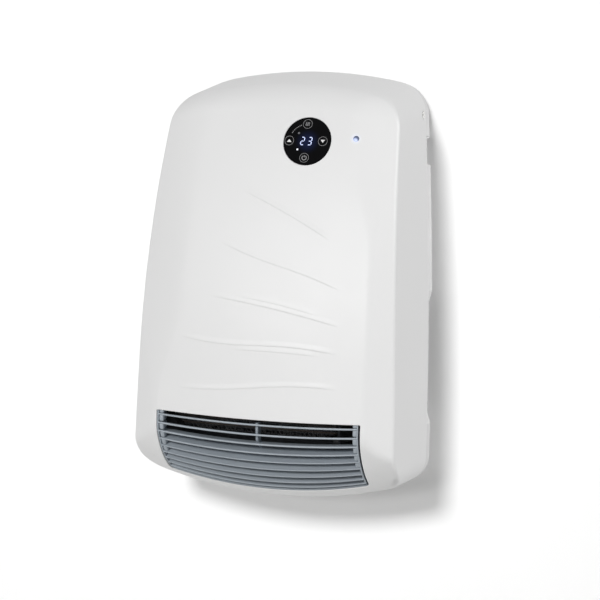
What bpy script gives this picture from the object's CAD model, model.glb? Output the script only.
import math

import bpy
import numpy as np
from bpy.props import FloatProperty, FloatVectorProperty, PointerProperty
from mathutils import Matrix, Vector
from mathutils.geometry import delaunay_2d_cdt


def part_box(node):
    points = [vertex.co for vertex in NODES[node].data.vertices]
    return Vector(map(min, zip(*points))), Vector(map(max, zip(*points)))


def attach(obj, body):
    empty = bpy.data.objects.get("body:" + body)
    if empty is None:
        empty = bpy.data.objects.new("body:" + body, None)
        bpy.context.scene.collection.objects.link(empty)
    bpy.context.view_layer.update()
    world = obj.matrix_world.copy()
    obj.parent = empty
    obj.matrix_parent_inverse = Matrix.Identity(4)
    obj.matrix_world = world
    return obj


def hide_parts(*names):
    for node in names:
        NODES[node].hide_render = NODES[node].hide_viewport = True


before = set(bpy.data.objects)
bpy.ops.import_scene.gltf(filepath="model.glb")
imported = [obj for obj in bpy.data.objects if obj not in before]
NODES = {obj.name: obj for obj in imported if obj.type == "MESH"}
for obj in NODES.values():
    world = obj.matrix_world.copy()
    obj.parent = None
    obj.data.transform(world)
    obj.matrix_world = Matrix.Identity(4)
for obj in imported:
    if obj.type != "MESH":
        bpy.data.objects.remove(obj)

bl_info = {
    "name": "Bathroom wall fan heater",
    "version": (1, 0, 0),
    "blender": (4, 5, 0),
    "location": "View3D > Sidebar > Heater",
    "description": "Builds the looks of a wall fan heater round its packed CAD model",
    "category": "Object",
}


# ---- Materials ----

# Millimetres of a wave texture's period at a scale of 1
WAVE_SCALE = 314.159


def feed(t, socket, value):
    """Sets a socket, or links it where the value is another node's output."""
    if isinstance(value, bpy.types.NodeSocket):
        t.links.new(value, socket)
    else:
        socket.default_value = value


def grown(t, kind, **values):
    """A new node in a tree. Values with a capital feed its inputs, and the others are its settings."""
    n = t.nodes.new(kind)
    for name, value in values.items():
        if name[0].isupper():
            feed(t, n.inputs[name.replace("_", " ")], value)
        else:
            setattr(n, name, value)
    return n


def wired(t, kind, *values, **settings):
    """The first output of a new node whose inputs are fed in their order."""
    n = grown(t, kind, **settings)
    for socket, value in zip(n.inputs, values):
        feed(t, socket, value)
    return n.outputs[0]


def spread(t, fac, low, high, start=0.0, end=1.0, **settings):
    """Carries a value that runs from start to end over to a range from low to high."""
    return grown(t, "ShaderNodeMapRange", Value=fac, From_Min=start, From_Max=end,
                 To_Min=low, To_Max=high, **settings).outputs["Result"]


def mixed(t, fac, low, high):
    """A mix of two colours, each three numbers or another node's output."""
    n = grown(t, "ShaderNodeMix", data_type="RGBA")
    feed(t, n.inputs[0], fac)
    for k, colour in ((6, low), (7, high)):
        feed(t, n.inputs[k], colour if isinstance(colour, bpy.types.NodeSocket) else (*colour, 1))
    return n.outputs[2]


def finish_of(name, colour, rough, metal=0.0, coat=0.0, specular=0.5, kind="grain", size=0.4, depth=0.01,
              vary=0.05, shade=0.05, patch=30.0, stretch=None, second=None, shine=0.0):
    """A shader on Object coordinates. A fine pattern of size mm raises the surface by depth mm and
    varies the roughness: grain is noise, X, Y and Z are sine waves along an axis, cells are pits,
    and spangle gives each cell its own tone. A slow noise over patch mm varies the tone by shade.
    second colours the pattern's low places, and shine is light given off in the finish's colour."""
    m = bpy.data.materials.new(name)
    m.use_nodes = True
    t = m.node_tree
    at = t.nodes.new("ShaderNodeTexCoord").outputs["Object"]
    place = grown(t, "ShaderNodeMapping", Scale=stretch, Vector=at).outputs["Vector"] if stretch else at
    if kind in "XYZ":
        fine = grown(t, "ShaderNodeTexWave", bands_direction=kind, Vector=place,
                     Scale=WAVE_SCALE / size, Distortion=0.4, Detail=1.0).outputs["Fac"]
    elif kind == "grain":
        fine = grown(t, "ShaderNodeTexNoise", Vector=place, Scale=1000 / size, Detail=3.0).outputs["Fac"]
    else:
        cells = grown(t, "ShaderNodeTexVoronoi", Vector=place, Scale=1000 / size)
        fine = cells.outputs["Color" if kind == "spangle" else "Distance"]
    slow = grown(t, "ShaderNodeTexNoise", Vector=at, Scale=1000 / patch, Detail=2.0).outputs["Fac"]
    tone = mixed(t, fine if kind == "spangle" else slow,
                 [k * (1 - shade) for k in colour], [min(1, k * (1 + shade)) for k in colour])
    if second:
        tone = mixed(t, spread(t, fine, 0, 1, 0.25, 0.6), second, tone)
    uneven = spread(t, slow if kind == "grain" else fine, rough - vary, rough + vary, 0.3, 0.7)
    values = {"Base Color": tone, "Roughness": uneven, "Metallic": metal, "Coat Weight": coat,
              "Coat Roughness": 0.1, "Specular IOR Level": specular}
    if kind != "spangle":
        bump = grown(t, "ShaderNodeBump", Strength=1.0, Distance=depth * 0.001, Height=fine)
        values["Normal"] = bump.outputs["Normal"]
    if shine:
        values.update({"Emission Color": (*colour, 1), "Emission Strength": shine})
    for socket, value in values.items():
        feed(t, t.nodes["Principled BSDF"].inputs[socket], value)
    return m


def glow(material, centre, reach, colour, strength, core=0.0):
    """Light that a material gives off around a point, in metres, fading out over reach."""
    t = material.node_tree
    away = grown(t, "ShaderNodeVectorMath", operation="DISTANCE")
    feed(t, away.inputs[0], t.nodes["Texture Coordinate"].outputs["Object"])
    feed(t, away.inputs[1], centre)
    fade = spread(t, away.outputs["Value"], strength, 0.0, core, reach, interpolation_type="SMOOTHERSTEP")
    shader = t.nodes["Principled BSDF"].inputs
    feed(t, shader["Emission Color"], (*colour, 1))
    feed(t, shader["Emission Strength"], fade)
    return material


def put(name, mesh, material):
    """An object at the origin with a finished mesh and its material."""
    mesh.materials.append(material)
    o = bpy.data.objects.new(name, mesh)
    bpy.context.scene.collection.objects.link(o)
    return o


def give(material, *names):
    """Puts one material on every slot of these CAD nodes."""
    for n in names:
        for s in NODES[n].material_slots:
            s.material = material


# ---- The case as numbers: millimetres, x to the right, v the distance from the wall, z up ----

HEIGHT, WIDTH, DEPTH, WALL = 388.0, 246.0, 136.5, 2.5
SIDE_R, TOP_R, FOOT_R = 4360.0, 415.0, 418.0
TOP_CORNER, FOOT_CORNER = 31.0, 26.0
FACE_R, LEAN_R, BROW_BLEND = 1080.0, 810.0, 16.5
# The chin's fillet starts this far outside the face and the foot
CHIN_R, CHIN_OUT = 78.0, 1.0
TOP_Z, FOOT_Z = HEIGHT / 2, -HEIGHT / 2
LEAN_Z = FOOT_Z + 129.0
SIDE_C = np.array((WIDTH / 2 - SIDE_R, FOOT_Z))
TOP_C = np.array((0.0, TOP_Z - TOP_R))
FOOT_C = np.array((0.0, FOOT_Z + FOOT_R))
REAR_V, SLOPE_V = 12.0, 20.0
SLOPE = math.radians(14.5)
SHOULDER = math.radians(31)
SHOULDER_W = 22.0
# Heights at which the fillets of the left and right crease start to change, and over what height
LEFT_START, RIGHT_START, CREASE_SPAN = -110.0, 30.0, 90.0
# Depth of the feet of the rays that meet the case, and how far the rays reach
FAN_V = 50.0
AHEAD_FAR, ASIDE_FAR, SIDE_FAR = 120.0, 220.0, 60.0


def half_at(z):
    """Half width of the case: the bowed side is an arc about SIDE_C."""
    return SIDE_C[0] + np.sqrt(SIDE_R**2 - (z - FOOT_Z) ** 2)


def lean_at(z):
    """How far the face has leaned back: an arc of LEAN_R that starts at LEAN_Z."""
    return LEAN_R - np.sqrt(LEAN_R**2 - np.maximum(z - LEAN_Z, 0) ** 2)


def depth_at(x, z):
    """Distance of the plain face from the wall: an arc of FACE_R less the lean, across the width."""
    return DEPTH - FACE_R + np.sqrt((FACE_R - lean_at(z)) ** 2 - x**2)


CREASE_X = float(half_at(LEAN_Z)) - SHOULDER_W
CREASE_V = float(depth_at(CREASE_X, LEAN_Z))


def meet(a, ra, b, rb, side):
    """The point at distance ra from a and rb from b, on one side of the line between them."""
    d = np.linalg.norm(b - a)
    u = (b - a) / d
    k = (ra * ra - rb * rb + d * d) / (2 * d)
    return a + k * u + side * math.sqrt(ra * ra - k * k) * np.array((-u[1], u[0]))


TOP_K = meet(SIDE_C, SIDE_R - TOP_CORNER, TOP_C, TOP_R - TOP_CORNER, 1)
FOOT_K = meet(SIDE_C, SIDE_R - FOOT_CORNER, FOOT_C, FOOT_R - FOOT_CORNER, -1)


def smooth_step(t):
    """0 below 0, 1 above 1, and 3t^2 - 2t^3 between."""
    t = np.clip(t, 0, 1)
    return t * t * (3 - 2 * t)


def round_max(a, b, r):
    """The larger of two distances, with a fillet of radius r where two forms meet: the two
    distances plus r are the legs of a right angle, and its long side less r is the answer."""
    return np.minimum(-r, np.maximum(a, b)) + np.hypot(np.maximum(a + r, 0), np.maximum(b + r, 0))


def outline_gap(x, z):
    """Distance outside the front outline: the largest of the distances to its arcs, and in the
    sector of a corner the distance to the corner's arc."""
    x = np.abs(x)
    gap = np.maximum(np.hypot(x - SIDE_C[0], z - SIDE_C[1]) - SIDE_R,
                     np.maximum(np.hypot(x, z - TOP_C[1]) - TOP_R, np.hypot(x, z - FOOT_C[1]) - FOOT_R))
    for k, r, c, turn in ((TOP_K, TOP_CORNER, TOP_C, 1), (FOOT_K, FOOT_CORNER, FOOT_C, -1)):
        a, b = k - SIDE_C, k - c
        inside = (turn * (a[0] * (z - k[1]) - a[1] * (x - k[0])) > 0) \
            & (turn * ((x - k[0]) * b[1] - (z - k[1]) * b[0]) > 0)
        gap = np.where(inside, np.hypot(x - k[0], z - k[1]) - r, gap)
    return gap


def leaned(w, z):
    """Distance in front of a profile that is upright below LEAN_Z and leans back above it."""
    return np.where(z > LEAN_Z, np.hypot(w + LEAN_R, np.maximum(z - LEAN_Z, 0)) - LEAN_R, w)


def ease_max(a, b, r):
    """The larger of two distances, raised by r / 4 where they are equal and less around it."""
    near = np.clip(1 - np.abs(a - b) / r, 0, 1)
    return np.maximum(a, b) + near * near * r / 4


def case_gap(x, v, z, soft, edge, rib):
    """Distance outside the case: the face, two shoulders, chin, sloping top and side walls, each
    blended into the last. soft holds the fillets of the left crease, low and high, and of the
    right one; edge is the fillet between a shoulder and a side; rib is the ribs' height."""
    face = leaned(np.hypot(x, v - (DEPTH - FACE_R)) - FACE_R, z)
    if rib:
        face = face - rib_height(x, z, rib)
    turned = (v - CREASE_V) * math.cos(SHOULDER) + (np.abs(x) - CREASE_X) * math.sin(SHOULDER)
    left, right = (low + (high - low) * smooth_step((z - start) / CREASE_SPAN)
                   for low, high, start in ((*soft[:2], LEFT_START), (*soft[2:], RIGHT_START)))
    gap = round_max(face, leaned(turned, z), np.where(x < 0, left, right))
    foot = np.hypot(x, z - FOOT_C[1]) - FOOT_R
    chin = round_max(v - (DEPTH + CHIN_OUT), foot - CHIN_OUT, CHIN_R)
    gap = ease_max(gap, chin, 0.6 + 2.4 * smooth_step((np.abs(x) - 40) / 50))
    up = TOP_Z + (v - SLOPE_V) * math.sin(SLOPE) + (z - TOP_Z) * math.cos(SLOPE)
    gap = round_max(gap, np.hypot(x, up - TOP_C[1]) - TOP_R, BROW_BLEND)
    wall = ease_max(outline_gap(x, z), outline_gap(x, up), 1.0)
    past = np.maximum(np.abs(x) - TOP_K[0], 0)
    return round_max(gap, wall, 0.4 + (edge - 0.4) * smooth_step(past / (past + 10) / 0.6))


def reach_out(origin, way, far, form, level=0.0):
    """Where rays from inside the case meet case_gap = level, by halving the stretch 32 times."""
    low, high = np.zeros(len(origin)), np.full(len(origin), float(far))
    for _ in range(32):
        mid = (low + high) / 2
        inside = case_gap(*(origin + way * mid[:, None]).T, *form) < level
        low, high = np.where(inside, mid, low), np.where(inside, high, mid)
    return origin + way * low[:, None]


def raised(q, v):
    """Points or directions of the plane of the wall, as x, v, z with v given."""
    return np.stack((q[:, 0], np.zeros(len(q)) + v, q[:, 1]), 1)


def ahead(q, form, level=0.0):
    """Where rays straight ahead from points of the plane meet case_gap = level."""
    foot = raised(q, FAN_V)
    return reach_out(foot, np.array((0.0, 1.0, 0.0)) + 0 * foot, AHEAD_FAR, form, level)


def unit(d):
    """Directions of length 1."""
    return d / np.linalg.norm(d, axis=-1, keepdims=True)


def outward(p, form):
    """Unit normals of the case: the slope of case_gap over 0.1 mm each way."""
    g = np.empty_like(p)
    for k, step in enumerate(0.1 * np.eye(3)):
        g[:, k] = case_gap(*(p + step).T, *form) - case_gap(*(p - step).T, *form)
    return unit(g)


def arc(centre, radius, start, end, step, base=None):
    """Points on an arc and their directions from its centre, start and end in radians. Their
    number comes from the base radius where one is given."""
    n = max(2, int(abs(end - start) * (base or radius) / step))
    a = np.linspace(start, end, n, endpoint=False)
    d = np.stack((np.cos(a), np.sin(a)), 1)
    return centre + radius * d, d


def case_outline():
    """The front outline from the middle of the foot round to the right, as points and normals:
    five arcs for the right half, and their mirror image."""
    bearing = lambda a, b: math.atan2(b[1] - a[1], b[0] - a[0])
    forms = ((FOOT_C, FOOT_R, 3.0), (FOOT_K, FOOT_CORNER, 1.7), (SIDE_C, SIDE_R, 4.0),
             (TOP_K, TOP_CORNER, 1.7), (TOP_C, TOP_R, 3.0))
    turns = (-math.pi / 2, bearing(FOOT_C, FOOT_K), bearing(SIDE_C, FOOT_K),
             bearing(SIDE_C, TOP_K), bearing(TOP_C, TOP_K), math.pi / 2)
    parts = [arc(c, r, a, b, step) for (c, r, step), a, b in zip(forms, turns, turns[1:])]
    p, n = (np.concatenate([q[i] for q in parts] + [[top]]) for i, top in ((0, (0, TOP_Z)), (1, (0, 1))))
    flip = np.array((-1, 1))
    return np.concatenate((p, (p * flip)[-2:0:-1])), np.concatenate((n, (n * flip)[-2:0:-1]))


# ---- Meshes from arrays ----

def axes(p):
    """x, y, z of the scene from x, v, z: y is v turned round."""
    return np.asarray(p, dtype=np.float64) * (1, -1, 1)


def mesh_of(name, verts, tris, normals=None):
    """A mesh in metres from an array of x, v, z in millimetres and an array of triangles."""
    v = axes(verts) * 0.001
    t = np.asarray(tris, dtype=np.int32)
    m = bpy.data.meshes.new(name)
    m.vertices.add(len(v))
    m.vertices.foreach_set("co", v.ravel())
    m.loops.add(t.size)
    m.loops.foreach_set("vertex_index", t.ravel())
    m.polygons.add(len(t))
    m.polygons.foreach_set("loop_start", np.arange(0, t.size, 3, dtype=np.int32))
    m.polygons.foreach_set("use_smooth", np.ones(len(t), dtype=bool))
    m.update(calc_edges=True)
    if m.validate():
        raise RuntimeError(name + " has faulty faces")
    if normals is None:
        m.set_sharp_from_angle(angle=math.radians(38))
    else:
        m.normals_split_custom_set_from_vertices(axes(normals).tolist())
    return m


def delaunay(points, loops):
    """Triangles over points of a plane that keep the edges of the loops."""
    edges = [e for k in loops for e in zip(k.tolist(), np.roll(k, -1).tolist())]
    got, _, tris, was, *_ = delaunay_2d_cdt(list(map(Vector, points.tolist())), edges, [], 0, 1e-6)
    if len(got) != len(points):
        raise RuntimeError("points of the cover meet")
    was = np.array([k[0] for k in was])
    return was[np.array(tris)]


def within(p, loop):
    """Which points lie inside a closed loop: a line to the right crosses an odd number of edges."""
    a, b = loop, np.roll(loop, -1, axis=0)
    x, y = p[:, :1], p[:, 1:]
    cross = (a[:, 1] > y) != (b[:, 1] > y)
    rise = np.where(b[:, 1] == a[:, 1], 1e-9, b[:, 1] - a[:, 1])
    at = a[:, 0] + (y - a[:, 1]) * (b[:, 0] - a[:, 0]) / rise
    return (cross & (x < at)).sum(1) % 2 == 1


def skin(rings, closed=False):
    """A closed surface over an array of rings of points: the last ring joins the first, or each end
    is capped by a fan to its middle. The sign of its volume turns its faces outward."""
    n, m = rings.shape[:2]
    i, j = np.meshgrid(np.arange(n if closed else n - 1), np.arange(m), indexing="ij")
    a, b = i * m + j, i * m + (j + 1) % m
    c, d = (i + 1) % n * m + j, (i + 1) % n * m + (j + 1) % m
    tris = np.stack((a, b, d, a, d, c), -1).reshape(-1, 3)
    verts = rings.reshape(-1, 3)
    if not closed:
        k, last = np.arange(m), (n - 1) * m
        after = (k + 1) % m
        tris = np.concatenate((tris, np.stack((after, k, np.full(m, n * m)), 1),
                               np.stack((last + k, last + after, np.full(m, n * m + 1)), 1)))
        verts = np.concatenate((verts, rings[:1].mean(1), rings[-1:].mean(1)))
    p = axes(verts - verts.mean(0))
    volume = (p[tris[:, 0]] * np.cross(p[tris[:, 1]], p[tris[:, 2]])).sum()
    return verts, tris if volume > 0 else tris[:, ::-1]


def joined(parts):
    """One array of points and one of triangles from several."""
    sizes = np.cumsum([0] + [len(v) for v, _ in parts[:-1]])
    return np.concatenate([v for v, _ in parts]), np.concatenate([f + k for (_, f), k in zip(parts, sizes)])


# ---- Front cover ----

# Width of the plane's border that stands for the fans of rays, and rays in a fan
FAN_W, FAN_ROWS, FINE_TURNS = 30.0, 36, 121
PANEL, GLASS_HOLE_R = np.array((30.6, 124.2)), 21.7
LENS, LENS_HOLE_R = np.array((43.5, 3.6)), 2.65
SIDE_SCREW_DROP, FOOT_SCREW_X = 39.0, 60.0
POCKET_R, POCKET_RIM_R, POCKET_DEEP = 3.8, 4.1, 2.3
OUTLET_HALF, OUTLET_TOP, TOP_SAG = 95.0, FOOT_Z + 76.2, 2.2
LIP_WIDTH, LOW_CORNER, TOP_CORNER_R = 8.7, 4.0, 1.2
# Start and end of a rib's chord, its sag, its wave and the share of the ribs' height
RIBS = (
    ((-26, 81.0), (63, 37.3), 1.9, 0.0, 1.0),
    ((-45, 36.3), (76, -5.0), -0.2, 1.35, 0.8),
    ((-50, -13.0), (76, -35.2), 2.2, 0.0, 0.9),
    ((-26, -12.8), (56, -27.0), 2.2, 0.0, 0.6),
    ((-80, -49.1), (75, -58.5), -0.7, 2.2, 1.0),
    ((-26, -59.4), (56, -60.6), 0.9, 0.0, 0.55),
    ((-80, -95.7), (76, -88.3), 0.6, 1.8, 1.0),
)
# Ribs with a close grid of their own, and how far it reaches below and above their line
RIB_BANDS = ((0, -2.0, 5.0), (1, -2.0, 5.0), (2, -2.0, 7.4), (4, -6.6, 5.0), (6, -2.0, 5.0))


def bow(rib, t):
    """How far a rib's line stands off its chord at a share t of its length: a parabola and a wave."""
    _, _, sag, wave, _ = rib
    return sag * 4 * t * (1 - t) - wave * np.sin(2 * math.pi * t)


def rib_chord(rib):
    """Start, direction and length of a rib's chord."""
    (x0, z0), (x1, z1), *_ = rib
    length = math.hypot(x1 - x0, z1 - z0)
    return x0, z0, (x1 - x0) / length, (z1 - z0) / length, length


def rib_place(rib, x, z):
    """Where points lie on a rib: the share of its length and the distance above its line."""
    x0, z0, ux, uz, length = rib_chord(rib)
    along = ((x - x0) * ux + (z - z0) * uz) / length
    return along, (z - z0) * ux - (x - x0) * uz - bow(rib, along)


def rib_grid(rib, low, high):
    """Points over a rib from low to high beside its line, the way back from rib_place."""
    x0, z0, ux, uz, length = rib_chord(rib)
    t, w = np.meshgrid(np.linspace(0.01, 0.99, int(length / 1.7)), np.arange(low, high, 0.42))
    w = w + bow(rib, t)
    return np.stack((x0 + t * length * ux - w * uz, z0 + t * length * uz + w * ux), -1).reshape(-1, 2)


def rib_height(x, z, high):
    """Height of the feathered ribs: across a rib it rises slowly from above, is highest on the
    rib's line and falls off sharply below it; along the rib it fades in and out."""
    h = np.zeros_like(x)
    for rib in RIBS:
        along, across = rib_place(rib, x, z)
        fade = smooth_step(along / 0.2) * smooth_step((1 - along) / 0.14)
        crest = np.where(across > 0, smooth_step(1 - across / 4.5), smooth_step(1 + across / 1.3))
        h = np.maximum(h, high * rib[4] * fade * crest)
    return h


def outlet_loop(g):
    """Edge of the air outlet drawn out by g: a sagging top edge, straight ends, a bowed foot
    edge and rounded lower corners, counterclockwise from the lower left."""
    half, low_r = OUTLET_HALF, FOOT_R - LIP_WIDTH
    k = np.array((half - LOW_CORNER,
                  FOOT_C[1] - math.sqrt((low_r - LOW_CORNER) ** 2 - (half - LOW_CORNER) ** 2)))
    lean = math.atan2(k[0], FOOT_C[1] - k[1])
    sag_r = half**2 / (2 * TOP_SAG)
    sag_c = np.array((0.0, OUTLET_TOP - TOP_SAG + sag_r))
    foot = arc(FOOT_C, low_r + g, -math.pi / 2 - lean, -math.pi / 2 + lean, 1.6, low_r)[0]
    turn = arc(k, LOW_CORNER + g, -math.pi / 2 + lean, 0, 1.2, LOW_CORNER)[0]
    rise = np.linspace(k[1], OUTLET_TOP - 1.6, 28)
    right = np.stack((np.full(28, half + g), rise), 1)
    tip_c = np.array((half - TOP_CORNER_R, OUTLET_TOP - TOP_CORNER_R))
    tip = arc(tip_c, TOP_CORNER_R + g, 0.03, math.pi / 2 - 0.05, 0.4, TOP_CORNER_R)[0]
    reach = math.asin((half - 1.6) / sag_r)
    top = arc(sag_c, sag_r - g, -math.pi / 2 + reach, -math.pi / 2 - reach, 1.6, sag_r)[0]
    flip = np.array((-1.0, 1.0))
    return np.concatenate((foot, turn, right, tip, top,
                           (tip * flip)[::-1], (right * flip)[::-1], (turn * flip)[:0:-1]))


def face_frame(x, z):
    """Point and directions on the face: along it to the right, up it and straight out of it."""
    turn = math.asin(x / (FACE_R - float(lean_at(z))))
    pitch = math.asin(max(z - LEAN_Z, 0) / LEAN_R)
    ct, st, cp, sp = math.cos(turn), math.sin(turn), math.cos(pitch), math.sin(pitch)
    return (np.array((x, float(depth_at(x, z)), z)),
            np.array((ct, -st, 0)), np.array((-st * sp, -ct * sp, cp)), np.array((st * cp, ct * cp, sp)))


def full_turn(n):
    """Angles of n points round a circle."""
    return np.linspace(0, 2 * math.pi, n, endpoint=False)


def face_circle(at, shift, r, n):
    """A circle of radius r on the face, shift to the right of and above the point at, and the way
    out of the face there."""
    p, e1, e2, e3 = face_frame(*at)
    a = full_turn(n)[:, None]
    return p + shift[0] * e1 + shift[1] * e2 + r * (np.cos(a) * e1 + np.sin(a) * e2), e3


def bend(a, b, c, n):
    """Rows of points on a quadratic Bezier curve from a by b to c, n rows after the first."""
    t = (np.arange(1, n + 1) / n)[:, None, None]
    return (1 - t) ** 2 * a + 2 * t * (1 - t) * b + t**2 * c


def screw_places(o):
    """How far along the outline its points lie, and where the four screw pockets stand on it."""
    steps = np.linalg.norm(np.diff(np.concatenate((o, o[:1])), axis=0), axis=1)
    run = np.concatenate(((0,), np.cumsum(steps)))
    half = len(o) // 2
    side = np.interp(TOP_Z - SIDE_SCREW_DROP, o[60:half, 1], run[60:half])
    foot = np.interp(FOOT_SCREW_X, o[:30, 0], run[:30])
    return run, (side, run[-1] - side, foot, run[-1] - foot)


def fan_turns(rays, count, form):
    """How far the rays of each fan turn from sideways to straight ahead, closer together where the
    surface runs long or bends: a step is worth its length in 7 mm and its bend in 4.5 degrees."""
    turn = np.linspace(0, math.pi / 2, FINE_TURNS)
    fine = rays(np.tile(turn, count), np.repeat(np.arange(count), FINE_TURNS))
    d = np.diff(reach_out(*fine, ASIDE_FAR, form).reshape(count, FINE_TURNS, 3), axis=1)
    long = np.linalg.norm(d, axis=2)
    u = d / long[..., None]
    bent = np.arccos(np.clip((u[:, 1:] * u[:, :-1]).sum(2), -1, 1))
    worth = long / 7 + np.pad(bent, ((0, 0), (1, 0))) / math.radians(4.5)
    share = np.pad(np.cumsum(worth + 0.08 * worth.mean(1, keepdims=True), 1), ((0, 0), (1, 0)))
    share = share / share[:, -1:] * 0.999
    row = np.arange(count)[:, None]
    wanted = (row + np.linspace(0, 0.999, FAN_ROWS)).ravel()
    return np.interp(wanted, (share + row).ravel(), np.tile(turn, count))


def front_grid():
    """Points of the plane in front: rows that follow the foot and the top, except over the ribs."""
    s, x = (np.concatenate([np.arange(*k) for k in runs]) for runs in (
        ((6.5, 12, 1.1), (12, 30, 1.8), (30, 100, 3.2), (100, 326, 5.0), (328, 340, 2.0), (340, 366, 1.1)),
        ((-103, -90, 1.2), (-89, -75, 2.3), (-75, 75, 5.0), (75, 90, 2.3), (91, 104, 1.2))))
    x, s = np.meshgrid(x, s / HEIGHT)
    low, high = FOOT_C[1] - np.sqrt(FOOT_R**2 - x**2), TOP_C[1] + np.sqrt(TOP_R**2 - x**2)
    grid = np.stack((x, low + s * (high - low)), -1).reshape(-1, 2)
    for k, low, high in RIB_BANDS:
        along, across = rib_place(RIBS[k], *grid.T)
        grid = grid[(along < 0) | (along > 1) | (across < low - 0.9) | (across > high + 0.9)]
    return grid


def hole_edges(plain, lip):
    """Edges of the outlet and of the two round holes. Each is a loop of the plane, the same loop
    on the surface, the sharp edge that its rounding replaces, and the loop on the inside."""
    bare = outlet_loop(0)
    low = smooth_step((FOOT_Z + 45 - bare[:, 1:]) / 30)
    rim = outlet_loop(lip) * (1 - low) + outlet_loop(2 * lip) * low
    edges = [(rim, ahead(rim, plain), ahead(bare, plain), ahead(bare, plain, -WALL))]
    for shift, r, ease, k in (((0, 0), GLASS_HOLE_R, 0.5, 96), (LENS, LENS_HOLE_R, 0.3, 32)):
        ring = []
        for grow in (ease, 0):
            c, out = face_circle(PANEL, shift, r + grow, k)
            ring.append(reach_out(c - 6 * out, out + 0 * c, 12, plain))
        edges.append((ring[0][:, ::2], *ring, ring[1] - WALL * out))
    return edges


def pocket_edges(o, core, n, plain):
    """Edges of the screw pockets in the side walls, as in hole_edges, and the way out of each."""
    run, places = screw_places(o)
    looped = [np.concatenate((k, k[:1])) for k in (core, n)]
    a = full_turn(32)
    edges = []
    for place in places:
        ring = []
        for r in (POCKET_RIM_R, POCKET_R):
            where, deep = place + r * np.cos(a), SLOPE_V + r * np.sin(a)
            c, out = (np.stack([np.interp(where, run, k[:, i]) for i in (0, 1)], 1) for k in looped)
            foot, way = raised(c, deep), raised(out, 0)
            ring.append((c + out * (FAN_W + FAN_V - deep)[:, None],
                         *(reach_out(foot, way, SIDE_FAR, plain, level) for level in (0.0, -WALL))))
        edges.append((*ring[0][:2], ring[1][1], ring[0][2], unit(way.mean(0))))
    return edges


class Shell:
    """A surface as it grows: points, their normals and triangles."""

    def __init__(self):
        self.verts, self.normals, self.faces, self.size = [], [], [], 0

    def add(self, verts, normals):
        """Takes in points, and returns their numbers."""
        self.verts.append(verts)
        self.normals.append(normals)
        self.size += len(verts)
        return np.arange(self.size - len(verts), self.size)

    def band(self, loop, on, rows, last=(), flip=False):
        """A band from a loop at the points on, over rows of new points, to a last loop where one
        is given as points and numbers. Returns the numbers of its last row."""
        rows = np.concatenate((on[None], rows, *(k[None] for k in last[:1])))
        normal = np.cross(np.gradient(rows, axis=0), np.roll(rows, -1, 1) - np.roll(rows, 1, 1))
        normal /= np.maximum(np.linalg.norm(normal, axis=2), 1e-12)[..., None]
        inside = slice(1, -1 if last else None)
        new = self.add(rows[inside].reshape(-1, 3), (-normal if flip else normal)[inside].reshape(-1, 3))
        index = np.concatenate((loop[None], new.reshape(-1, len(on)), *(k[None] for k in last[1:])))
        a, b = index[:-1], index[1:]
        quad = np.stack((a, np.roll(a, -1, 1), np.roll(b, -1, 1), b), -1).reshape(-1, 4)
        if flip:
            quad = quad[:, ::-1]
        self.faces.append(np.concatenate((quad[:, (0, 1, 2)], quad[:, (0, 2, 3)])))
        return index[-1]

    def cap(self, ring, middle, out, sign):
        """A fan of triangles that closes a ring about its middle, facing out or in by the sign."""
        at = self.add(middle[None], sign * out[None])[0]
        fan = np.stack((ring, np.roll(ring, -1), np.full(len(ring), at)), 1)
        self.faces.append(fan if sign > 0 else fan[:, ::-1])


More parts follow.
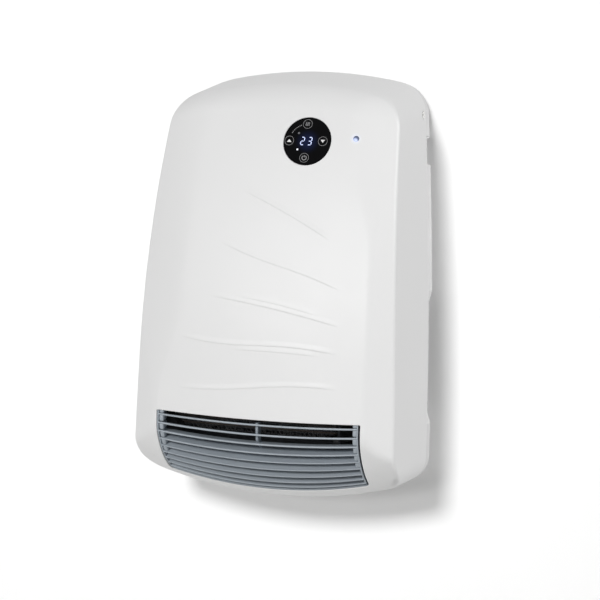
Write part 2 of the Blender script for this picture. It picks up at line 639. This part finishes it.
def cover_mesh(name, soft, edge, rib, lip):
    """The cover as one closed shell. Its surface is case_gap = 0 and its inside case_gap = -WALL,
    both met by the same rays: straight out in front of the core of the outline, turning through
    a quarter circle outside the core, and sideways over the rear of the walls. The rays' feet are
    spread on a plane, where triangles join them and leave out the holes."""
    plain, ribbed = (soft, edge, 0.0), (soft, edge, rib)
    o, n = case_outline()
    core = o - n * (5 + 19 * smooth_step((n[:, 1] + 0.95) / 0.6))[:, None]
    count = len(o)

    def rays(a, at):
        way = np.stack((n[at, 0] * np.cos(a), np.sin(a), n[at, 1] * np.cos(a)), 1)
        return raised(core[at], FAN_V), way

    turns = fan_turns(rays, count, plain)
    at = np.repeat(np.arange(count), FAN_ROWS)
    fan = rays(turns, at)
    fan_q = core[at] + n[at] * (FAN_W * (1 - turns / (math.pi / 2)))[:, None]

    # rays over the rear of the side walls, the last row just inside the rear edge
    v = np.array((43, 36, 31, 28, 26, 24.5, 22.5, 20.5, 18.5, 16.5, 15, 13.6, REAR_V + lip / 2))
    at = np.repeat(np.arange(count), len(v))
    deep = np.tile(v, count)
    wall_q = core[at] + n[at] * (FAN_W + FAN_V - deep)[:, None]

    # clear the holes and the border of other feet
    through, pockets = hole_edges(plain, lip), pocket_edges(o, core, n, plain)

    def clear(q, *margin):
        keep = np.ones(len(q), dtype=bool)
        for (loop, *_), wide in zip(through + pockets, margin):
            if wide:
                keep &= ~within(q, loop + unit(loop - loop.mean(0)) * wide)
        return keep

    grid = front_grid()
    grid = grid[within(grid, core - n * 1.0) & clear(grid, 0, 1.6, 1.3)
                & ~within(grid, outlet_loop(2 * lip + 1.0))]
    front = np.concatenate([grid] + [rib_grid(RIBS[k], low, high) for k, low, high in RIB_BANDS])
    kept = clear(wall_q, 0, 0, 0, 0.6, 0.6, 0.6, 0.6)
    edge_row = np.flatnonzero(deep[kept] == v[-1]) + len(fan_q)

    feet = np.concatenate((fan[0], raised(core[at], deep)[kept]))
    ways = np.concatenate((fan[1], raised(n[at], 0)[kept]))
    outer = [reach_out(feet, ways, ASIDE_FAR, plain), ahead(front, ribbed)]
    inner = [reach_out(feet, ways, ASIDE_FAR, plain, -WALL), ahead(front, plain, -WALL)]
    flat = [fan_q, wall_q[kept], front]
    loops, total = [], sum(len(k) for k in flat)
    for q, on, _, under, *_ in through + pockets:
        flat.append(q)
        outer.append(on)
        inner.append(under)
        loops.append(np.arange(total, total + len(q)))
        total += len(q)
    flat, outer, inner = (np.concatenate(k) for k in (flat, outer, inner))
    tris = delaunay(flat, loops)
    middle = flat[tris].mean(1)
    keep = ~np.isin(tris, edge_row).all(1)
    for q, *_ in through + pockets:
        box = ((middle > q.min(0)) & (middle < q.max(0))).all(1)
        keep[np.flatnonzero(box)[within(middle[box], q)]] = False

    # the shell's two sides, then the bands that close its edges
    shell = Shell()
    shell.add(outer, outward(outer, ribbed))
    shell.add(inner, -outward(inner, plain))
    shell.faces += [tris[keep], tris[keep][:, ::-1] + total]
    for loop, (_, on, sharp, under) in zip(loops, through):
        down = unit(under - sharp)
        lean = sharp + down * np.linalg.norm(on - sharp, axis=1)[:, None]
        rows = np.concatenate((bend(on, sharp, lean, 4), (under - 0.02 * down)[None]))
        shell.band(loop, on, rows, (under, loop + total))
    for loop, (_, on, sharp, under, out) in zip(loops[len(through):], pockets):
        rows = np.concatenate((bend(on, sharp, sharp - 0.3 * out, 3),
                               [sharp - k * out for k in (POCKET_DEEP - 0.02, POCKET_DEEP)]))
        shell.cap(shell.band(loop, on, rows), rows[-1].mean(0), out, 1)
        shell.cap(loop + total, under.mean(0), out, -1)
    on, under = outer[edge_row], inner[edge_row]
    sharp = reach_out(raised(core, REAR_V), raised(n, 0), SIDE_FAR, plain)
    lean = sharp + (under - sharp) * 0.2
    rows = np.concatenate((bend(on, sharp, lean, 3), (under * 0.98 + lean * 0.02)[None]))
    shell.band(edge_row, on, rows, (under, edge_row + total), flip=True)
    return mesh_of(name, *(np.concatenate(k) for k in (shell.verts, shell.faces, shell.normals)))


# ---- Louvre grille ----

CHIN_V, CHIN_Z = DEPTH + CHIN_OUT - CHIN_R, FOOT_Z - CHIN_OUT + CHIN_R
SLAT_TILTS = (-6.0, -5.0, 4.0, 21.0, 36.0, 46.0, 50.0, 53.0, 55.0)
OUTLET_ARC = math.radians(2.2), math.radians(61.1)
LOW_SAG = 11.0
SLAT_ENDS = -93.8, 92.6
# The rim's section: out from the outlet's edge, pull of the two ends, depth, and depth at the ends
RIM = ((0.2, 3.3, 1.1, 1.0), (1.5, 3.3, 1.1, 1.0), (1.6, 3.3, 2.85, 12.1), (3.0, 0.0, 2.8, 12.2),
       (3.0, 0.0, 4.0, 13.4), (1.6, 1.5, 4.05, 13.45), (1.5, 3.3, 13.4, 13.5), (0.4, 3.3, 13.4, 13.5))


def slat_angle(k):
    """Where slat k stands on the chin's arc, in radians below level."""
    return math.radians(5.5 + 6.58 * k)


def outlet_point(a, x, inset):
    """A point behind the chin: a radians down its arc in the middle, x across, inset below the
    surface. The line of one angle sags, less at the top than at the foot."""
    a, x, inset = np.broadcast_arrays(a, x, inset)
    share = (a - OUTLET_ARC[0]) / (OUTLET_ARC[1] - OUTLET_ARC[0])
    z = CHIN_Z - CHIN_R * np.sin(a) + (TOP_SAG + share * (LOW_SAG - TOP_SAG)) * (x / OUTLET_HALF) ** 2
    turn = np.arcsin(np.clip((np.hypot(x, z - FOOT_C[1]) - (FOOT_C[1] - CHIN_Z)) / CHIN_R, -1, 1))
    v = CHIN_V + (CHIN_R - inset) * np.cos(turn)
    v = -ease_max(-v, -(depth_at(x, z) - inset), 3.0)
    return np.stack((x, v, z + inset * np.sin(turn)), -1)


def slat(a, tilt, deep, thick):
    """A slat: a section with a round nose and a thinner round rear, carried across the outlet
    along its nose's line and leaning back by its tilt."""
    big, small = thick / 2, thick * 0.3
    q, r = np.radians(np.linspace(90, 270, 9)), np.radians(np.linspace(-90, 90, 5))
    u = np.concatenate((big + big * np.cos(q), [big + 0.3, deep - small - 0.3],
                        deep - small + small * np.cos(r), [deep - small - 0.3, big + 0.3]))
    w = np.concatenate((big * np.sin(q), [-big, -small], small * np.sin(r), [small, big]))
    nose = outlet_point(a, np.linspace(*SLAT_ENDS, 61), 1.0)
    back = np.array((0, -math.cos(tilt), math.sin(tilt)))
    up = np.array((0, math.sin(tilt), math.cos(tilt)))
    return skin(nose[:, None] + u[:, None] * back + w[:, None] * up)


def lug(a, half, side):
    """A rounded block between two slats at one end: a superellipsoid bent to the chin."""
    power = lambda c: np.sign(c) * np.abs(c) ** 0.5
    q, r = np.meshgrid(np.linspace(0.03, math.pi - 0.03, 12), full_turn(20), indexing="ij")
    wide = power(np.sin(q))
    across, up, deep = wide * power(np.cos(r)), wide * power(np.sin(r)), power(np.cos(q))
    return skin(outlet_point(a + half * up, side * (90.2 + 2.4 * across) - 0.6 * (side < 0), 6.2 + 4.6 * deep))


def rim_band(plain):
    """The grille's rim and the flange behind the cover's edge: an angled section carried round the
    outlet, which stands closer in and deeper at the two ends."""
    rows = []
    w = smooth_step((np.abs(outlet_loop(0)[:, 0]) - 93) / 1.6)
    for g, pull, inset, end_inset in RIM:
        on = ahead(outlet_loop(g), plain)
        p = on - outward(on, plain) * (inset + (end_inset - inset) * w)[:, None]
        p[:, 0] -= np.where(p[:, 0] > 0, pull, -pull * 0.5) * w
        rows.append(p)
    return skin(np.stack(rows, 1), closed=True)


def centre_post():
    """The upright behind the slats: a rounded bar that drops back below the open upper gaps."""
    a = np.radians(np.linspace(5.0, 60.0, 40))[:, None]
    front = 6.0 + 6.5 * smooth_step((a - math.radians(17)) / math.radians(7))
    x = np.array((-1.2, -0.7, 0.7, 1.2, 1.2, -1.2))
    inset = np.stack([front[:, 0] + k for k in (0.5, 0, 0, 0.5)] + [np.full(40, 13.6)] * 2, 1)
    return skin(outlet_point(a, x, inset))


def grille_parts(deep, thick, plain):
    """Slats, lugs, rim and post of the grille."""
    parts = [rim_band(plain), centre_post()]
    for k, tilt in enumerate(SLAT_TILTS):
        thinner = thick * (1 - 0.4 * smooth_step((k - 2.5) / 2))
        parts.append(slat(slat_angle(k), math.radians(tilt), deep, thinner))
    for k in range(-1, 5):
        low, high = max(slat_angle(k), math.radians(1.2)), slat_angle(k + 1)
        parts += [lug((low + high) / 2, (high - low) * 0.44, s) for s in (-1, 1)]
    return joined(parts)


# ---- Control panel ----

# The marks' middle on the glass, and the four keys about it
MARKS = np.array((-1.1, 0.2))
KEYS = ((0, 15.3), (-15.3, 0), (15.3, 0), (0, -15.3))


def mark(path, width, at=(0, 0), high=0.09, closed=False):
    """A thin plate on the glass: a flat section of the given width, or widths, carried along a
    path of x and y in the plane of the glass, and high mm thick."""
    p = np.asarray(path, dtype=float)
    along = unit(np.roll(p, -1, 0) - np.roll(p, 1, 0) if closed else np.gradient(p, axis=0))
    side = np.stack((-along[:, 1], along[:, 0]), 1) * (np.zeros(len(p)) + width)[:, None] / 2
    origin, e1, e2, e3 = face_frame(*PANEL)
    p = p + np.asarray(at) + MARKS
    flat = np.stack((p - side, p + side, p + side, p - side), 1)
    lift = np.array((0.0, 0.0, high, high)) + 0.01
    return skin(origin + flat[..., :1] * e1 + flat[..., 1:] * e2 + lift[:, None] * e3, closed)


def circle(r, n, start=0.0, end=360.0):
    """Points on a circle, or on a part of one that ends at its last point."""
    a = np.radians(np.linspace(start, end, n, endpoint=end - start < 360))
    return r * np.stack((np.cos(a), np.sin(a)), 1)


def dot(r, at, high=0.09):
    """A round dot: a path across it whose width is the chord there."""
    x = -r * np.cos(np.linspace(0.1, math.pi - 0.1, 14))
    return mark(np.stack((x, 0 * x), 1), 2 * np.sqrt(r * r - x * x), at, high)


def digit(lit, at):
    """One figure of up to seven bars, each a path with pointed ends, leaning over."""
    bars = {"a": ((-1.1, 3.4), (1.1, 3.4)), "g": ((-1.1, 0), (1.1, 0)), "d": ((-1.1, -3.4), (1.1, -3.4)),
            "b": ((1.4, 3.1), (1.4, 0.3)), "c": ((1.4, -0.3), (1.4, -3.1)), "e": ((-1.4, -0.3), (-1.4, -3.1))}
    t = np.array((0, 0.13, 0.87, 1.0))[:, None]
    made = []
    for name in lit:
        a, b = np.array(bars[name][0]), np.array(bars[name][1])
        p = a + (b - a) * t
        p[:, 0] += 0.12 * p[:, 1]
        made.append(mark(p, np.array((0.12, 0.64, 0.64, 0.12)), at))
    return made


def print_marks():
    """Printed marks: four ring keys, a power sign, heat waves and a row of dots, and apart from
    them the two arrowheads."""
    heads = []
    made = [mark(circle(4.05, 56), 0.3, k, closed=True) for k in KEYS]
    for k, way in ((KEYS[1], 1), (KEYS[2], -1)):
        heads.append(mark(((0, -1.3 * way), (0, 1.25 * way)), np.array((4.3, 0.15)), k))
    made.append(mark(circle(1.95, 30, -235, 55), 0.7, KEYS[3]))
    made.append(mark(((0, 0.5), (0, 2.4)), 0.65, KEYS[3]))
    y = np.linspace(-1.7, 1.7, 16)
    for x in (-1.35, 0, 1.35):
        made.append(mark(np.stack((x + 0.3 * np.sin(y * 2.2), y), 1), 0.5, KEYS[0]))
    for a in np.radians(np.linspace(112, 151, 8)):
        made.append(dot(0.42, (15.1 * math.cos(a), 15.1 * math.sin(a)), 0.07))
    return joined(made), joined(heads)


def lens_piece():
    """The indicator's light guide: a profile of radius and height turned about the axis of its hole,
    with a domed front just under the face and a flange behind the cover."""
    profile = np.array((
        (0.3, -1.55), (1.0, -1.58), (1.7, -1.68), (2.2, -1.85), (2.42, -2.05), (2.5, -2.3), (2.5, -3.9),
        (2.6, -4.0), (4.3, -4.0), (4.5, -4.2), (4.5, -4.9), (4.3, -5.1), (2.6, -5.1), (2.5, -5.2),
        (2.5, -11.2), (2.3, -11.4), (0.3, -11.4)))
    rings, out = face_circle(PANEL, LENS, profile[:, 0, None, None], 40)
    return skin(rings + profile[:, 1, None, None] * out)


# ---- Sizes and colours a user would change ----

class ViewSettings(bpy.types.PropertyGroup):
    turn: FloatProperty(name="Turn", description="How far the camera stands to the heater's right",
                        default=math.radians(19.26), subtype="ANGLE", unit="ROTATION")
    tip: FloatProperty(name="Tip", description="How far the camera looks down",
                       default=math.radians(2.513), subtype="ANGLE", unit="ROTATION")
    roll: FloatProperty(name="Roll", description="How far the camera leans over",
                        default=math.radians(2.265), subtype="ANGLE", unit="ROTATION")
    place: FloatVectorProperty(name="Place", description="Where the camera stands",
                               default=(0.51179, -1.49312, 0.04976), subtype="XYZ", unit="LENGTH")
    lens: FloatProperty(name="Lens", description="Focal length on a 36 mm wide frame", default=100.39)


class CoverSettings(bpy.types.PropertyGroup):
    left_low: FloatProperty(name="Left crease, low", description="Fillet of the left crease near the outlet",
                            default=0.0025, unit="LENGTH")
    left_high: FloatProperty(name="Left crease, high", description="Fillet of the left crease higher up",
                             default=0.012, unit="LENGTH")
    right_low: FloatProperty(name="Right crease, low", description="Fillet of the right crease near the outlet",
                             default=0.0016, unit="LENGTH")
    right_high: FloatProperty(name="Right crease, high", description="Fillet of the right crease near the top",
                              default=0.011, unit="LENGTH")
    edge: FloatProperty(name="Edge", description="Fillet between a shoulder and a side",
                        default=0.0026, unit="LENGTH")
    rib: FloatProperty(name="Rib height", description="Height of the feathered ribs on the face",
                       default=0.00035, unit="LENGTH")
    lip: FloatProperty(name="Lip", description="Rounding of the edge of the air outlet",
                       default=0.0008, unit="LENGTH")

    def fillets(self):
        """The fillets of the creases and of the edge in millimetres, as case_gap takes them."""
        creases = self.left_low, self.left_high, self.right_low, self.right_high
        return tuple(1000 * k for k in creases), 1000 * self.edge


class GrilleSettings(bpy.types.PropertyGroup):
    deep: FloatProperty(name="Slat depth", description="Slat from front to back", default=0.0135, unit="LENGTH")
    thick: FloatProperty(name="Slat thickness", description="Thickness of a slat at its round nose",
                         default=0.0017, unit="LENGTH")


class FinishSettings(bpy.types.PropertyGroup):
    cover: FloatVectorProperty(name="Cover", description="Colour of the front cover",
                               default=(0.80, 0.80, 0.80), subtype="COLOR", min=0, max=1)
    grille: FloatVectorProperty(name="Grille", description="Colour of the louvre grille",
                                default=(0.36, 0.40, 0.44), subtype="COLOR", min=0, max=1)
    light: FloatVectorProperty(name="Lit figures", description="Colour of the lit figures and the indicator",
                               default=(0.62, 0.70, 1.0), subtype="COLOR", min=0, max=1)


# Name, CAD nodes, colour, roughness and the pattern of each finish of the CAD nodes that stay
FINISHES = (
    ("case_plastic", "rear_case cable_clamp motor_bobbin", (0.72, 0.72, 0.72), 0.5,
     dict(size=0.6, depth=0.02, shade=0.02, patch=40)),
    ("zinc_plate", "wall_bracket thermal_fuse", (0.46, 0.47, 0.48), 0.42,
     dict(metal=1.0, kind="spangle", size=7, vary=0.08, shade=0.12)),
    ("screw_zinc", "lock_screw cover_screws clamp_screws board_screws duct_screws motor_screws",
     (0.60, 0.60, 0.58), 0.32, dict(metal=1.0, size=0.25, depth=0.006, vary=0.08, shade=0.08, patch=4)),
    ("spring_steel", "touch_springs", (0.62, 0.62, 0.63), 0.25, dict(metal=1.0, size=0.2, depth=0.002, patch=3)),
    ("ground_steel", "fan_shaft fan_pin", (0.60, 0.61, 0.62), 0.25,
     dict(metal=1.0, size=0.12, depth=0.003, vary=0.07, stretch=(1.0, 0.06, 0.06))),
    ("rubber", "cable_grommet bush_mount", (0.022, 0.022, 0.024), 0.75,
     dict(size=0.5, depth=0.02, shade=0.2, patch=6)),
    ("duct_plastic", "duct_rear duct_front duct_end_left duct_end_right", (0.055, 0.057, 0.062), 0.6,
     dict(size=0.5, depth=0.015, shade=0.1, specular=0.3)),
    ("grey_plastic", "panel_holder terminal_block", (0.42, 0.43, 0.44), 0.5, {}),
    ("display_face", "digit_display", (0.10, 0.10, 0.11), 0.4, dict(size=0.5)),
    ("ribbon_cable", "display_ribbon", (0.42, 0.43, 0.45), 0.5,
     dict(kind="X", size=1.27, depth=0.25, second=(0.30, 0.31, 0.33))),
    ("solder_mask", "power_board display_board", (0.015, 0.085, 0.04), 0.32,
     dict(kind="cells", size=3.5, depth=0.03, second=(0.03, 0.15, 0.07), shade=0.12, patch=18)),
    ("black_plastic", "relay_left relay_right thermal_cutout", (0.016, 0.016, 0.018), 0.42,
     dict(size=0.3, depth=0.01, shade=0.15)),
    ("frame_plastic", "heater_frame", (0.02, 0.02, 0.022), 0.55,
     dict(size=0.35, depth=0.02, shade=0.2, specular=0.25)),
    ("yellow_plastic", "mains_capacitor", (0.55, 0.33, 0.03), 0.3, dict(size=0.8, shade=0.06, patch=10)),
    ("varnish_brown", "supply_transformer", (0.10, 0.055, 0.025), 0.35,
     dict(kind="Z", size=0.5, depth=0.12, coat=0.4, second=(0.05, 0.03, 0.015))),
    ("fin_aluminium", "fin_pack_1 fin_pack_2 fin_pack_3 fin_pack_4", (0.22, 0.22, 0.23), 0.6,
     dict(metal=0.6, kind="X", size=1.4, depth=0.35, vary=0.08, specular=0.2, second=(0.08, 0.08, 0.09))),
    ("wheel_aluminium", "fan_wheel", (0.70, 0.71, 0.72), 0.35,
     dict(metal=1.0, size=0.3, depth=0.01, vary=0.08, shade=0.08, stretch=(0.1, 1.0, 1.0))),
    ("ceramic_brown", "ptc_bar_1 ptc_bar_2 ptc_bar_3", (0.07, 0.052, 0.04), 0.7,
     dict(kind="cells", size=0.5, depth=0.03, shade=0.15, patch=8)),
    ("bronze", "fan_bush", (0.42, 0.25, 0.10), 0.42,
     dict(metal=1.0, kind="cells", size=0.35, depth=0.02, shade=0.15, patch=5)),
    ("core_steel", "motor_stator motor_rotor", (0.24, 0.24, 0.25), 0.42,
     dict(metal=0.85, kind="X", size=0.5, depth=0.09, second=(0.10, 0.10, 0.11))),
    ("cast_zinc", "motor_bracket_inner motor_bracket_outer", (0.46, 0.47, 0.48), 0.48,
     dict(metal=1.0, size=1.2, depth=0.05, vary=0.08, shade=0.1, patch=12)),
    ("copper_wire", "motor_coil", (0.55, 0.20, 0.07), 0.33,
     dict(metal=0.85, kind="X", size=0.45, depth=0.14, coat=0.5, second=(0.22, 0.08, 0.03))),
    ("led_resin", "indicator_led", (0.75, 0.80, 0.88), 0.25, dict(size=0.4, depth=0.003)),
)


# What the outlet shows behind the slats: how the names of these nodes start
BEHIND_SLATS = "duct_rear", "duct_front", "duct_end", "heater_frame", "fin_pack", "ptc_bar", "thermal"


# ---- Operators ----

class HEATER_OT_stage(bpy.types.Operator):
    """Puts up the white wall, the pale floor, the lamps and the camera"""
    bl_idname = "heater.stage"
    bl_label = "Stage"

    def execute(self, context):
        v = context.scene.heater_view
        cam = bpy.data.objects.new("camera", bpy.data.cameras.new("camera"))
        cam.matrix_world = (
            Matrix.Translation(v.place)
            @ Matrix.Rotation(v.turn, 4, "Z")
            @ Matrix.Rotation(math.pi / 2 - v.tip, 4, "X")
            @ Matrix.Rotation(v.roll, 4, "Z")
        )
        cam.data.lens = v.lens
        cam.data.sensor_width = 36
        context.scene.collection.objects.link(cam)
        context.scene.camera = cam

        wall = self.sheet("wall", (-4, 0.0006, -1.2), (4, 0.0006, 3), self.wall_paint())
        grey = finish_of("floor_paint", (0.82, 0.82, 0.81), 0.8)
        floor = self.sheet("floor", (-4, -6, -1.2), (4, 0, -1.2), grey)
        louvre, cover = bpy.data.objects["louvre_grille"], bpy.data.objects["cover_shell"]
        inside = [o for name, o in NODES.items() if name.startswith(BEHIND_SLATS)]
        self.share([wall, louvre] + inside, "EXCLUDE", self.lamp("key", -9, 7, 1.2, 41))
        self.share([wall], "EXCLUDE", self.lamp("side", 80, 28, 1.2, 43), self.lamp("left", -60, 36, 1.2, 8))
        self.share([louvre], "INCLUDE", self.lamp("louvre", -12, 16, 0.7, 44))
        self.share([wall], "INCLUDE", self.lamp("wash", -7, 20, 0.6, 57),
                   self.lamp("wash_low", -10, 4, 0.55, 12))
        self.share([wall, floor, cover, NODES["wall_bracket"]], "EXCLUDE", self.lamp("back", 180, 0, 1.0, 30))
        context.scene.world = self.studio(0.24)
        context.scene.view_settings.view_transform = "Standard"
        return {"FINISHED"}

    @staticmethod
    def sheet(name, low, high, paint):
        """A flat piece of the stage between two opposite corners."""
        m = bpy.data.meshes.new(name)
        m.from_pydata([low, (high[0], *low[1:]), high, (low[0], *high[1:])], [], [(0, 1, 2, 3)])
        o = put(name, m, paint)
        return o

    @staticmethod
    def studio(strength):
        """A white room: camera, mirror and glass rays see it at 1, and it lights at its strength."""
        world = bpy.data.worlds.new("studio")
        world.use_nodes = True
        t = world.node_tree
        seen = t.nodes["Background"]
        seen.inputs["Color"].default_value = (1, 1, 1, 1)
        lit = grown(t, "ShaderNodeBackground", name="lit", Color=(1, 1, 1, 1), Strength=strength)
        ray = t.nodes.new("ShaderNodeLightPath").outputs
        shown = ray["Is Camera Ray"]
        for kind in ("Is Glossy Ray", "Is Transmission Ray"):
            shown = wired(t, "ShaderNodeMath", shown, ray[kind], operation="MAXIMUM")
        room = wired(t, "ShaderNodeMixShader", shown, lit.outputs[0], seen.outputs[0])
        t.links.new(room, t.nodes["World Output"].inputs[0])
        return world

    @staticmethod
    def wall_paint():
        """White paint that keeps the heater's shadow and only the camera sees, from in front."""
        m = bpy.data.materials.new("wall_paint")
        m.use_nodes = True
        t = m.node_tree
        t.nodes.clear()
        paint = wired(t, "ShaderNodeBsdfDiffuse", (0.97, 0.97, 0.97, 1))
        clear = wired(t, "ShaderNodeBsdfTransparent")
        seen = t.nodes.new("ShaderNodeLightPath").outputs["Is Camera Ray"]
        behind = t.nodes.new("ShaderNodeNewGeometry").outputs["Backfacing"]
        front = wired(t, "ShaderNodeMath", seen, behind, operation="SUBTRACT", use_clamp=True)
        grown(t, "ShaderNodeOutputMaterial", Surface=wired(t, "ShaderNodeMixShader", front, clear, paint))
        return m

    @staticmethod
    def share(objects, state, *lamps):
        """Keeps lamps off some objects, or keeps them to these."""
        reached = bpy.data.collections.new("lit_" + state.lower())
        for k, o in enumerate(objects):
            reached.objects.link(o)
            reached.collection_objects[k].light_linking.link_state = state
        for o in lamps:
            o.light_linking.receiver_collection = reached

    @staticmethod
    def lamp(name, bearing, rise, size, watts):
        """A round soft lamp 3 m from the heater, at a bearing to its right and a rise in degrees."""
        d = bpy.data.lights.new(name, "AREA")
        d.shape = "DISK"
        d.size = size
        d.energy = watts
        o = bpy.data.objects.new(name, d)
        b, r = math.radians(bearing), math.radians(rise)
        o.location = Vector((math.sin(b) * math.cos(r), -math.cos(b) * math.cos(r), math.sin(r))) * 3
        o.rotation_mode = "QUATERNION"
        o.rotation_quaternion = (Vector((0, -0.05, 0)) - o.location).to_track_quat("-Z", "Y")
        bpy.context.scene.collection.objects.link(o)
        return o


class HEATER_OT_cover(bpy.types.Operator):
    """Makes the bowed front cover with its soft creases, feathered ribs and rounded edges"""
    bl_idname = "heater.cover"
    bl_label = "Front cover"

    def execute(self, context):
        c, f = context.scene.heater_cover, context.scene.heater_finish
        paint = finish_of("cover_white", f.cover, 0.42, size=0.5, depth=0.004, vary=0.03, shade=0.008, patch=60)
        hole = face_circle(PANEL, LENS, 0, 1)[0][0]
        glow(paint, 0.001 * axes(hole), 0.0062, (0.35, 0.52, 1.0), 0.13, 0.0025)
        cover = put("cover_shell", cover_mesh("cover_shell", *c.fillets(), 1000 * c.rib, 1000 * c.lip), paint)
        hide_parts("front_cover")
        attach(cover, "case")
        return {"FINISHED"}


class HEATER_OT_grille(bpy.types.Operator):
    """Makes the louvre grille: nine sagging slats, their end lugs, the rim and the post"""
    bl_idname = "heater.grille"
    bl_label = "Louvre grille"

    def execute(self, context):
        g, f = context.scene.heater_grille, context.scene.heater_finish
        grey = finish_of("grille_plastic", f.grille, 0.42, size=0.35, depth=0.006, shade=0.04, patch=25)
        parts = grille_parts(1000 * g.deep, 1000 * g.thick, (*context.scene.heater_cover.fillets(), 0.0))
        grille = put("louvre_grille", mesh_of("louvre_grille", *parts), grey)
        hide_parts("outlet_grille")
        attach(grille, "case")
        return {"FINISHED"}


class HEATER_OT_panel_marks(bpy.types.Operator):
    """Makes the printed keys, the lit figures, the two lamps of the panel and the indicator's lens"""
    bl_idname = "heater.panel_marks"
    bl_label = "Control panel"

    def execute(self, context):
        light = context.scene.heater_finish.light
        ink = finish_of("key_print", (0.26, 0.26, 0.265), 0.5, size=0.2, depth=0.002, patch=3, shade=0.15)
        white = finish_of("arrow_print", (0.75, 0.75, 0.75), 0.5, size=0.2, depth=0.002, patch=3)
        lit = finish_of("lit_figures", light, 0.3, size=0.3, depth=0.001, shine=0.62)
        lamp = finish_of("lamp_lit", (0.8, 0.82, 0.9), 0.3, size=0.3, depth=0.001, shine=0.42)
        unlit = finish_of("lamp_unlit", (0.09, 0.09, 0.10), 0.4, size=0.3, depth=0.001)
        lens = finish_of("frosted_lens", (0.10, 0.13, 0.22), 0.35, size=0.3, depth=0.004)
        low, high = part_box("indicator_led")
        # the brightest spot of the lens lies on the face in front of the indicator's LED
        spot = (low[0] + high[0]) / 2 - 0.0008, -0.1105, (low[2] + high[2]) / 2 + 0.0002
        glow(lens, spot, 0.0040, light, 0.85, 0.0015)
        prints, heads = print_marks()
        figures = joined(digit("abged", (-3.0, -0.2)) + digit("abgcd", (3.7, -0.2)))
        for name, made, finish, slot in (
                ("key_print", prints, ink, "display_grey"),
                ("key_arrows", heads, white, "display_grey"),
                ("lit_figures", figures, lit, "led_white"),
                ("heat_lamp_lit", dot(0.85, (-7.0, -7.9)), lamp, "led_white"),
                ("fan_lamp_unlit", dot(1.0, (-7.2, 6.9)), unlit, "led_white"),
                ("indicator_guide", lens_piece(), lens, "lens_clear")):
            o = put(name, mesh_of(name, *made), finish)
            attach(o, "case")
        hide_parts("indicator_lens")
        return {"FINISHED"}


class HEATER_OT_finishes(bpy.types.Operator):
    """Gives the CAD nodes that stay their materials"""
    bl_idname = "heater.finishes"
    bl_label = "Finishes"

    def execute(self, context):
        glass = finish_of("black_glass", (0.0015, 0.0016, 0.002), 0.12, specular=0.05, size=12, depth=0.001,
                          vary=0.02, shade=0.3, patch=14)
        p, e1, e2, _ = face_frame(*PANEL)
        glow(glass, 0.001 * axes(p + 0.3 * e1 - 0.2 * e2), 0.0135, (0.15, 0.25, 1.0), 0.04)
        give(glass, "control_glass")
        for name, nodes, colour, rough, more in FINISHES:
            give(finish_of(name, colour, rough, **more), *nodes.split())
        return {"FINISHED"}


class HEATER_PT_panel(bpy.types.Panel):
    """Lists the steps that build the looks"""
    bl_idname = "HEATER_PT_panel"
    bl_label = "Wall fan heater"
    bl_space_type = "VIEW_3D"
    bl_region_type = "UI"
    bl_category = "Heater"

    def draw(self, context):
        for c in STEPS:
            self.layout.operator(c.bl_idname)


STEPS = (HEATER_OT_finishes, HEATER_OT_cover, HEATER_OT_grille, HEATER_OT_panel_marks, HEATER_OT_stage)
GROUPS = {"heater_view": ViewSettings, "heater_finish": FinishSettings, "heater_cover": CoverSettings,
          "heater_grille": GrilleSettings}


def register():
    for c in (*GROUPS.values(), *STEPS, HEATER_PT_panel):
        bpy.utils.register_class(c)
    for name, c in GROUPS.items():
        setattr(bpy.types.Scene, name, PointerProperty(type=c))


def unregister():
    for name in GROUPS:
        delattr(bpy.types.Scene, name)
    for c in reversed((*GROUPS.values(), *STEPS, HEATER_PT_panel)):
        bpy.utils.unregister_class(c)


def main():
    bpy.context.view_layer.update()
    register()
    for c in STEPS:
        area, step = c.bl_idname.split(".")
        getattr(getattr(bpy.ops, area), step)()


if __name__ == "__main__":
    main()
